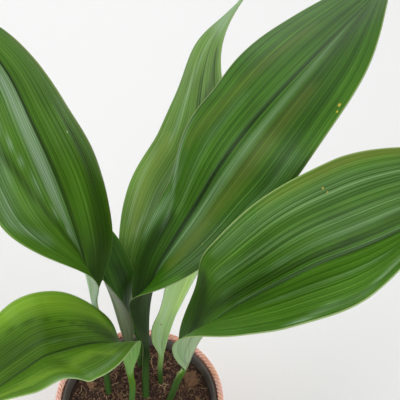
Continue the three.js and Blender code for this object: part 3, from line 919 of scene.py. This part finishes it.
LEAVES = (
    Leaf(
        "leaf_left", Slot.LEAF_GREEN, LEFT, 150, 3.1,
        ((-28, 11, 117), (-33, 33, 220), (-53, 74, 305), (-72, 87, 381), (-97, 111, 429), (-154, 138, 480)),
        ((60, 55, 52), (40, 56, 45), (19, 50, 43), (2, 8, 9), (-6, -21, -12), (-1, -15, -12), (11, 3, -12)),
        55.9, 0.38, 1.38, 0.88, ((1.2, 3.5, 0.1), (1, 4.5, 0.6)), curl=(-14, -19),
        strokes=LEFT_MARKS,
    ),
    Leaf(
        "leaf_low", Slot.LEAF_BRIGHT, LOW, 185, 2.8,
        ((-8, 5, 117), (-6, 6, 157), (-18, 9, 206), (-57, -24, 244), (-85, -47, 247), (-171, -114, 230)),
        ((101, 35, 59), (92, 34, 62), (79, 31, 66), (52, 13, 66), (34, 4, 62), (35, 15, 56), (38, 28, 50)),
        49.2, 0.53, 1.3, 0.87, ((2, 3.5, 0.75), (1, 3, 0.1)), curl=(-15, -11),
        strokes=LOW_MARKS,
    ),
    Leaf(
        "leaf_back", Slot.LEAF_LIGHT, BACK, 70, 2.7,
        ((8, 45, 117), (-10, 73, 186), (20, 116, 261), (48, 138, 311), (63, 178, 386), (108, 218, 434)),
        ((21, 55, 55), (11, 42, 43), (1, 29, 31), (-8, 18, 20), (-20, 9, 12), (-33, 10, 7), (-51, 10, 9),
         (-71, 4, 14)),
        42, 0.44, 1.04, 0.99, ((1.4, 4, 0.2), (1.2, 3.5, 0.5)), curl=(-16, -15),
        strokes=BACK_MARKS,
    ),
    Leaf(
        "leaf_inner", Slot.LEAF_DARK, INNER, 150, 2.3,
        ((-2, 41, 117), (-1, 39, 159), (-12, 43, 164), (-24, 60, 208), (-48, 99, 241), (-68, 123, 282)),
        ((6, 78, 50), (11, 74, 37), (15, 74, 25), (15, 72, 17), (4, 60, 33), (-2, 46, 31), (-9, 25, 17)),
        26.4, 0.5, 0.95, 0.85, ((0.8, 3, 0), (0.8, 3, 0.4)), curl=(-15, -15),
        strokes=INNER_MARKS,
    ),
    Leaf(
        "leaf_tall", Slot.LEAF_GREEN, TALL, 50, 3.1,
        ((5, 5, 117), (7, 19, 175), (14, 35, 250), (46, 45, 326), (93, 55, 417), (208, 163, 473)),
        ((-91, 69, 33), (-79, 76, 62), (-67, 89, 77), (-50, 48, -7), (-34, 20, -49), (-27, 19, -8),
         (-27, 13, 53)),
        53.3, 0.74, 1.08, 0.87, ((1.4, 4.5, 0.1), (1, 4, 0.7)), curl=(-13, -10),
        strokes=TALL_MARKS,
    ),
    Leaf(
        "leaf_right", Slot.LEAF_GREEN, RIGHT, -5, 3.1,
        ((25, 5, 117), (39, -9, 193), (63, -27, 285), (123, -38, 360), (172, -48, 407), (245, -45, 466)),
        ((-35, 65, 117), (1, 54, 59), (19, 31, 35), (14, 15, 66), (26, 48, 53), (14, 30, 35), (-3, 36, 51)),
        59.2, 0.69, 1.06, 0.78, ((1.2, 4, 0.3), (1.5, 5, 0.2)), curl=(-5, -9),
        strokes=RIGHT_MARKS,
    ),
    Leaf(
        "leaf_pale", Slot.LEAF_UNDERSIDE, PALE, 60, 2.4,
        ((18, 21, 117), (19, 27, 155), (30, 45, 194), (54, 70, 246), (71, 94, 285), (99, 127, 317)),
        ((-125, 54, 49), (-115, 53, 42), (-108, 45, 33), (-99, 28, 12), (-94, 20, 22), (-84, 19, 23),
         (-72, 16, 19)),
        30.1, 0.5, 0.9, 0.85, ((0.8, 3, 0.2), (0.8, 3, 0.7)), curl=(-15, -15),
        strokes=PALE_MARKS,
    ),
)


# ---- Pots and soil ----


@dataclass
class CoverPot:
    """Cover pot of laid paper cord, wound in level rings. Sizes in mm.

    The details are faces per twist along a strand and faces round it. rim_phase is where the rim's
    twist starts, and the others are how far it moves on from one ring to the next, in radians.
    """

    cord_width: float = 5.2
    rim_radius: float = 75.0
    foot_radius: float = 62.0
    height: float = 135.0
    strands: int = 3
    lay_length: float = 12.3
    least_twists: int = 3
    rim_detail: tuple[int, int] = (14, 12)
    wall_detail: tuple[int, int] = (6, 5)
    rim_phase: float = 0.4
    wall_phase: float = 1.7
    base_phase: float = 0.9
    finish: CordFinish = field(default_factory=CordFinish)

    def ring(
        self, bm: bmesh.types.BMesh, radius: float, level: float, detail: tuple[int, int], phase: float
    ) -> None:
        """Adds one ring of three twisted strands.

        Args:
            bm: The mesh that the strands are added to.
            radius: Radius of the ring's centre line.
            level: Height of the ring's centre line.
            detail: Faces per twist along a strand, and faces round it.
            phase: Where the twist starts, in radians.
        """
        twists = max(self.least_twists, round(2 * math.pi * radius / self.lay_length))
        strand_radius = self.cord_width / 2 / (1 + 2 / math.sqrt(3))
        offset = self.cord_width / 2 - strand_radius
        rows, sides = twists * detail[0], detail[1]
        for strand in range(self.strands):
            start = phase + 2 * math.pi * strand / self.strands

            def shape(column: np.ndarray, row: np.ndarray, start: float = start) -> tuple[np.ndarray, ...]:
                """One strand: a tube on a helix round the ring's centre line."""
                turn = 2 * np.pi * (row % rows) / rows
                twist = start + twists * turn
                radial = np.column_stack([np.cos(turn), np.sin(turn), 0 * turn])
                tangent = np.column_stack([-np.sin(turn), np.cos(turn), 0 * turn])
                upward = np.array([0.0, 0.0, 1.0])
                normal = radial * np.cos(twist)[:, None] + upward * np.sin(twist)[:, None]
                sideways = -radial * np.sin(twist)[:, None] + upward * np.cos(twist)[:, None]
                path = tangent * radius + sideways * (offset * twists)
                path /= np.linalg.norm(path, axis=1)[:, None]
                binormal = np.cross(path, normal)
                angle = 2 * np.pi * (column % sides) / sides
                centre = radial * radius + upward * level + normal * offset
                outwards = normal * np.cos(angle)[:, None] + binormal * np.sin(angle)[:, None]
                around = strand_radius * np.minimum(angle, 2 * np.pi - angle)
                values = np.column_stack([around, radius * turn, np.full_like(turn, strand + phase)])
                return centre + strand_radius * outwards, values

            rolled_sheet(bm, sides, rows, shape, "strand_map")

    def build(self) -> None:
        """Builds the rim cord, the wall's rings and the coiled base."""
        material = self.finish.material()
        half = self.cord_width / 2
        rim_centre, rim_level = self.rim_radius - half, self.height - half
        foot_centre = self.foot_radius - half
        turns = round((rim_level - half) / self.cord_width)
        wall = []
        for turn in range(turns):
            share = turn / turns
            radius = foot_centre + (rim_centre - foot_centre) * share
            wall.append((radius, half + (rim_level - half) * share, self.wall_detail, self.wall_phase * turn))
        base = [
            (foot_centre - turn * self.cord_width, half, self.wall_detail, self.base_phase * turn)
            for turn in range(1, int(foot_centre / self.cord_width))
        ]
        parts = {
            "cover_rim_cord": [(rim_centre, rim_level, self.rim_detail, self.rim_phase)],
            "cover_wall_cord": wall,
            "cover_base_cord": base,
        }
        for name, rings in parts.items():
            bm = bmesh.new()
            for ring in rings:
                self.ring(bm, *ring)
            bmesh.ops.remove_doubles(bm, verts=bm.verts, dist=WELD)
            finish_piece(bm, name, material, ["cover_pot"])


def spun(bm: bmesh.types.BMesh, outline: Sequence[tuple[float, float]], steps: int) -> None:
    """Turns an outline once round the Z axis.

    Args:
        bm: The mesh that the turned shape is added to.
        outline: Radius and height of each point, in mm.
        steps: Faces round the turn.
    """
    line = [bm.verts.new((radius * MM, 0.0, height * MM)) for radius, height in outline]
    edges = [bm.edges.new(pair) for pair in zip(line, line[1:])]
    bmesh.ops.spin(
        bm, geom=line + edges, cent=(0, 0, 0), axis=(0, 0, 1), angle=2 * math.pi, steps=steps, use_merge=True
    )
    bmesh.ops.remove_doubles(bm, verts=bm.verts, dist=WELD)


@dataclass
class NurseryPot:
    """Thin plastic nursery pot inside the cover pot. Sizes in mm.

    The edges are steps in radius and height: of the foot's edge from the wall's foot, of the lip
    from its lower and its upper edge, and of the mouth from the wall's inside at the top.
    """

    rim_radius: float = 68.8
    rim_height: float = 132.0
    foot_radius: float = 51.0
    foot_height: float = 5.5
    wall: float = 1.6
    lip_depth: float = 5.0
    lip_step: float = 1.8
    lip_start: float = 0.4
    foot_edge: tuple[tuple[float, float], ...] = ((-2.0, 0.0), (-0.6, 0.6), (0.0, 2.0))
    lip_foot: tuple[tuple[float, float], ...] = ((-0.3, 0.9), (0.0, 1.3))
    lip_top: tuple[tuple[float, float], ...] = ((0.0, -0.8), (-0.25, -0.25), (-0.8, 0.0))
    mouth: tuple[tuple[float, float], ...] = ((1.3, 0.0), (0.9, -0.3))
    steps: int = 144
    finish: PlasticFinish = field(default_factory=PlasticFinish)

    def wall_radius(self, height: float) -> float:
        """Outer radius of the wall at a height."""
        share = (height - self.foot_height) / (self.rim_height - self.foot_height)
        return self.foot_radius + (self.rim_radius - self.lip_step - self.foot_radius) * share

    def build(self) -> None:
        """Builds the pot as one turned shell with a rolled lip."""
        foot, top, rim = self.foot_height, self.rim_height, self.rim_radius
        lip, floor = top - self.lip_depth, foot + self.wall
        inside = self.wall_radius(top) - self.wall
        outline = [(0, foot)]
        outline += [(self.foot_radius + out, foot + up) for out, up in self.foot_edge]
        outline += [(self.wall_radius(height), height) for height in (lip - self.lip_start, lip)]
        outline += [(rim + out, lip + up) for out, up in self.lip_foot]
        outline += [(rim + out, top + up) for out, up in self.lip_top]
        outline += [(inside + out, top + up) for out, up in self.mouth]
        outline += [(self.wall_radius(height) - self.wall, height) for height in (lip, floor)]
        outline += [(0, floor)]
        bm = bmesh.new()
        spun(bm, outline, self.steps)
        finish_piece(bm, "nursery_pot_shell", self.finish.material(), ["nursery_pot"])


@dataclass
class PottingSoil:
    """Peat with crumbs, bark and straw. Sizes in mm, and tones from 0 to 1.

    bark has each big piece's x, y, half size and tone. straw has each strand's middle x and y, its
    heading in degrees, its length and radius, and its tone. The ranges are those of each scattered
    thing's further numbers, in the same order.
    """

    level: float = 123.0
    crown: float = 2.5
    lump: float = 1.1
    lump_sizes: tuple[float, float, float, float] = (5.1, 4.3, 2.9, 3.7)
    grit_size: float = 6.0
    edge_radius: float = 64.0
    edge_margin: float = 2.5
    floor: float = 7.4
    floor_radius: float = 49.3
    rings: int = 64
    steps: int = 200
    body_tone: float = 0.15
    seed: int = 20
    crumb_count: int = 3600
    crumb_ranges: tuple[tuple[float, float], ...] = ((0.5, 1.5), (0.0, 0.62))
    chip_count: int = 110
    chip_ranges: tuple[tuple[float, float], ...] = ((1.4, 2.6), (0.0, 0.4))
    fibre_count: int = 620
    fibre_ranges: tuple[tuple[float, float], ...] = ((0, 360), (2.5, 9), (0.12, 0.3), (0.0, 0.5))
    fibre_lift: float = 0.6
    bark: tuple[tuple[float, float, float, float], ...] = (
        (44.9, 23.4, 8.5, 0.30), (-44.4, 20.1, 5.0, 0.38), (20.0, 28.6, 1.2, 0.9),
        (-18.0, 8.0, 3.4, 0.2), (52.0, 5.0, 3.2, 0.3),
    )
    straw: tuple[tuple[float, float, float, float, float, float], ...] = (
        (21.3, 17.0, 20, 11, 0.35, 0.62), (23.0, 15.0, 75, 9, 0.3, 0.55), (19.0, 18.5, -35, 8, 0.3, 0.6),
        (13.0, 46.0, 80, 20, 0.25, 0.45), (17.0, 42.0, 60, 16, 0.25, 0.5), (9.0, 40.0, 110, 15, 0.22, 0.45),
        (50.4, 38.0, 88, 36, 0.16, 0.6), (-30.0, 14.0, 10, 14, 0.25, 0.4), (35.0, 4.0, 130, 15, 0.25, 0.45),
    )
    peat_finish: CrumbFinish = CrumbFinish("milled_peat", "#24140E", "#5C3C2E", "#A8846A")
    bark_finish: CrumbFinish = CrumbFinish("shredded_bark", "#3E2719", "#7E5C42", "#BC9A72", grain=500.0)
    straw_finish: CrumbFinish = CrumbFinish("dried_plant_fibre", "#5A3E2A", "#A98560", "#DCC69C", grain=300.0)

    def height_at(self, x: float, y: float) -> float:
        """Height of the soil's surface in mm."""
        share = min(1.0, math.hypot(x, y) / self.edge_radius)
        wide_x, wide_y, fine_x, fine_y = self.lump_sizes
        lumps = math.sin(x / wide_x + 1.3) * math.cos(y / wide_y) + 0.6 * math.sin(x / fine_x - y / fine_y)
        grit = noise.fractal(Vector((x / self.grit_size, y / self.grit_size, 0.3)), 0.7, 2.1, 4)
        fade = 1 - share ** 4
        return self.level + (1 - share ** 2) * self.crown + fade * (self.lump * lumps + grit)

    def build(self) -> None:
        """Builds the soil's body, then what lies on it."""
        bm = bmesh.new()
        outline = [(0.0, self.floor), (self.floor_radius, self.floor)]
        shares = [1 - ring / self.rings for ring in range(self.rings + 1)]
        outline += [(self.edge_radius * share, self.level) for share in shares]
        spun(bm, outline, self.steps)
        store = bm.verts.layers.float_vector.new("crumb_map")
        for vertex in bm.verts:
            x, y, z = vertex.co / MM
            if z > self.level - 1:
                vertex.co.z = self.height_at(x, y) * MM
            vertex[store] = Vector([self.body_tone] * 3)
        finish_piece(bm, "peat_body", self.peat_finish.material(), ["soil"])
        crumbs = self.scattered(self.crumb_count, 1, self.crumb_ranges)
        chips = self.scattered(self.chip_count, 2, self.chip_ranges)
        fibres = self.scattered(self.fibre_count, 3, self.fibre_ranges)
        self.crumbs("peat_crumbs", self.peat_finish, crumbs, 1)
        self.crumbs("bark_chips", self.bark_finish, chips, 2)
        self.crumbs("bark_pieces", self.bark_finish, self.bark, 4)
        self.fibres("peat_fibres", self.straw_finish, fibres)
        self.fibres("straw_and_roots", self.straw_finish, self.straw)

    def scattered(
        self, count: int, salt: int, ranges: Sequence[tuple[float, float]]
    ) -> list[tuple[float, ...]]:
        """Scatters things over the surface, away from the pot's wall.

        Args:
            count: How many things.
            salt: Added to the soil's seed.
            ranges: Lowest and highest of each further number of a thing.

        Returns:
            Each thing's x and y in mm, then a number from each range.
        """
        source = random.Random(self.seed + salt)
        things = []
        for _ in range(count):
            radius = (self.edge_radius - self.edge_margin) * math.sqrt(source.random())
            turn = source.uniform(0, 2 * math.pi)
            drawn = [source.uniform(*limits) for limits in ranges]
            things.append((radius * math.cos(turn), radius * math.sin(turn), *drawn))
        return things

    def crumbs(
        self, name: str, finish: CrumbFinish, places: Sequence[tuple[float, ...]], detail: int
    ) -> None:
        """Lays rough crumbs on the surface as one piece.

        Args:
            name: The piece's name.
            finish: The crumbs' finish.
            places: Each crumb's x, y and half size in mm, and its tone from 0 to 1.
            detail: Subdivisions of each crumb.
        """
        source = random.Random(self.seed)

        def add(bm: bmesh.types.BMesh, x: float, y: float, size: float, tint: float) -> None:
            """One crumb: a lumpy flattened ball."""
            layers = bm.verts.layers.float_vector
            store = layers.get("crumb_map") or layers.new("crumb_map")
            stretch = Matrix.Diagonal((1.0, source.uniform(0.4, 0.9), source.uniform(0.35, 0.75), 1.0))
            spin = Matrix.Rotation(source.uniform(0, 6.28), 4, "Z")
            spin @= Matrix.Rotation(source.uniform(-0.9, 0.9), 4, "X")
            at = Vector((x, y, self.height_at(x, y) + 0.2 * size)) * MM
            place = Matrix.Translation(at) @ spin @ stretch
            ball = bmesh.ops.create_icosphere(bm, subdivisions=detail, radius=size * MM, matrix=place)
            shift = Vector((source.uniform(0, 90), 0, 0))
            for vertex in ball["verts"]:
                push = noise.fractal(vertex.co / MM / size * 1.6 + shift, 0.6, 2.2, detail)
                vertex.co = at + (vertex.co - at) * (1 + 0.6 * push)
                vertex[store] = Vector((tint, tint, tint))

        bm = bmesh.new()
        gathered(bm, places, add)
        finish_piece(bm, name, finish.material())

    def fibres(self, name: str, finish: CrumbFinish, places: Sequence[tuple[float, ...]]) -> None:
        """Lays thin bent fibres on the surface as one piece.

        Args:
            name: The piece's name.
            finish: The fibres' finish.
            places: Each fibre's middle x and y in mm, heading in degrees, length and radius in mm, and
                tone from 0 to 1.
        """
        source = random.Random(self.seed)
        rows, sides = 6, 4

        def add(
            bm: bmesh.types.BMesh,
            x: float,
            y: float,
            heading: float,
            length: float,
            radius: float,
            tint: float,
        ) -> None:
            """One fibre: a thin tube on a bowed line over the soil."""
            turn = math.radians(heading)
            bow, lift = source.uniform(-0.25, 0.25) * length, source.uniform(0.0, 0.12) * length
            along = np.array([math.cos(turn), math.sin(turn)])
            aside = np.array([-math.sin(turn), math.cos(turn)])

            def shape(column: np.ndarray, row: np.ndarray) -> tuple[np.ndarray, ...]:
                """Points round the fibre's bowed line."""
                share = row / rows
                arch = np.sin(np.pi * share)
                flat = np.array([x, y]) + (share[:, None] - 0.5) * length * along
                flat = flat + (bow * arch)[:, None] * aside
                level = np.array([self.height_at(*place) for place in flat]) + self.fibre_lift + lift * arch
                angle = 2 * np.pi * (column % sides) / sides
                thick = radius * (0.5 + 0.5 * arch)
                flat = flat + (thick * np.cos(angle))[:, None] * aside
                points = np.column_stack([flat, level + thick * np.sin(angle)])
                return points, np.full((len(row), 3), tint)

            rolled_sheet(bm, sides, rows, shape, "crumb_map")

        bm = bmesh.new()
        gathered(bm, places, add)
        close_ends(bm)
        finish_piece(bm, name, finish.material())


# ---- Studio ----


@dataclass
class Studio:
    """Pale floor, soft light from all round and the photograph's camera. Sizes in metres.

    The world glows at its horizon, up to the first height in glow, and fades to ambient at the
    second. A softbox has a name, heading and height in degrees, side, and irradiance at the plant.
    """

    floor: FloorFinish = field(default_factory=FloorFinish)
    floor_radius: float = 1.35
    floor_sides: int = 128
    camera_place: tuple[float, float, float] = (0.054, -0.421, 0.836)
    camera_tilt: float = 43.4
    lens: float = 81.0
    sensor: float = 36.0
    daylight: str = "#F6F7F8"
    ambient: float = 0.20
    horizon: float = 0.86
    glow: tuple[float, float] = (0.14, 0.42)
    reach: float = 2.4
    aim_height: float = 0.25
    softboxes: tuple[tuple[str, float, float, float, float], ...] = (
        ("right_front_softbox", 315, 22, 1.5, 1.45),
        ("left_softbox", 205, 22, 1.8, 1.45),
        ("back_softbox", 95, 36, 1.8, 1.25),
        ("back_left_softbox", 150, 50, 1.4, 0.48),
        ("front_softbox", 270, 55, 1.4, 0.48),
        ("top_softbox", 0, 84, 1.6, 0.42),
    )

    def build(self) -> None:
        """Builds floor, world, lights and camera."""
        scene = bpy.context.scene
        scene.view_settings.view_transform = "Standard"
        bm = bmesh.new()
        bmesh.ops.create_circle(bm, cap_ends=True, segments=self.floor_sides, radius=self.floor_radius)
        mesh = bpy.data.meshes.new("studio_floor")
        bm.to_mesh(mesh)
        bm.free()
        mesh.materials.append(self.floor.material())
        ground = bpy.data.objects.new("studio_floor", mesh)
        scene.collection.objects.link(ground)
        scene.world = self.world()
        for softbox in self.softboxes:
            self.softbox(*softbox)

        lens = bpy.data.cameras.new("photo_camera")
        lens.lens, lens.sensor_width = self.lens, self.sensor
        camera = bpy.data.objects.new("photo_camera", lens)
        camera.location = self.camera_place
        camera.rotation_euler = (math.radians(self.camera_tilt), 0, 0)
        scene.collection.objects.link(camera)
        scene.camera = camera

    def world(self) -> bpy.types.World:
        """Builds the soft daylight round the floor."""
        world = bpy.data.worlds.new("soft_daylight")
        world.use_nodes = True
        tree = world.node_tree
        tree.nodes.clear()
        heading = add_node(tree, "TexCoord").outputs["Generated"]
        climb = add_node(tree, "SeparateXYZ", {0: heading}).outputs["Z"]
        level = {0: climb, 1: self.glow[0], 2: self.glow[1], 3: self.horizon, 4: self.ambient}
        strength = add_node(tree, "MapRange", level, interpolation_type="SMOOTHSTEP").outputs[0]
        sky = add_node(tree, "Background", {"Color": linear(self.daylight), "Strength": strength})
        add_node(tree, "OutputWorld", {0: sky.outputs[0]})
        return world

    def softbox(self, name: str, heading: float, height: float, size: float, strength: float) -> None:
        """Hangs one square softbox that faces the plant.

        Args:
            name: The light's name.
            heading: Its direction from the plant, in degrees from +X towards +Y.
            height: Its angle above the horizon in degrees.
            size: Its side in metres.
            strength: Its irradiance at the plant, in watts per square metre.
        """
        light = bpy.data.lights.new(name, "AREA")
        light.size, light.energy = size, strength * math.pi * self.reach ** 2
        turn, lift = math.radians(heading), math.radians(height)
        away = Vector((math.cos(turn) * math.cos(lift), math.sin(turn) * math.cos(lift), math.sin(lift)))
        holder = bpy.data.objects.new(name, light)
        holder.location = Vector((0, 0, self.aim_height)) + away * self.reach
        holder.rotation_euler = away.to_track_quat("Z", "Y").to_euler()
        bpy.context.scene.collection.objects.link(holder)


def main() -> None:
    """Builds the studio, the pots, the soil and the leaves."""
    logging.basicConfig(level=logging.INFO, format="%(name)s %(message)s")
    Studio().build()
    CoverPot().build()
    NurseryPot().build()
    PottingSoil().build()
    for leaf in LEAVES:
        leaf.build()


if __name__ == "__main__":
    main()
